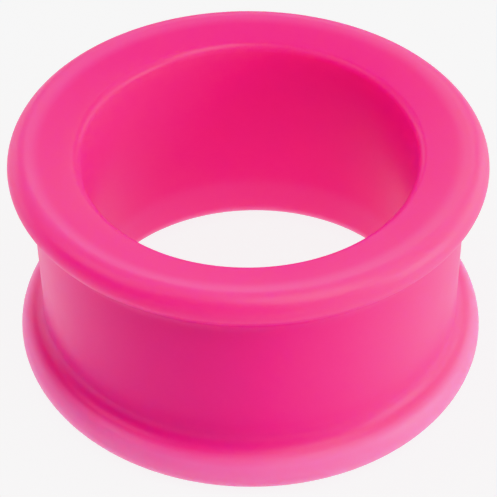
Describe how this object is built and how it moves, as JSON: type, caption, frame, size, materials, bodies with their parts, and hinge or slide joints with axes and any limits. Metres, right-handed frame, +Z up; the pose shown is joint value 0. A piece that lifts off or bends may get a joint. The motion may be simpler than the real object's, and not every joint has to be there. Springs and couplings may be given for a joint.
{
  "type": "double flared silicone ear tunnel",
  "caption": "Soft one-piece ear tunnel: a straight waist between a top and a base flange with rounded lips, and a wide round bore right through.",
  "frame": {"origin": "middle of the ring, on the surface that its base flange stands on", "axes": "+Z up along the bore's axis, from the base flange to the top flange; X and Y lie across the ring, which is round"},
  "size_m": [0.028, 0.028, 0.0144],
  "materials": {
    "pink_silicone": "satin moulded silicone"
  },
  "bodies": {
    "root": {"tunnel": "pink_silicone"}
  },
  "joints": []
}
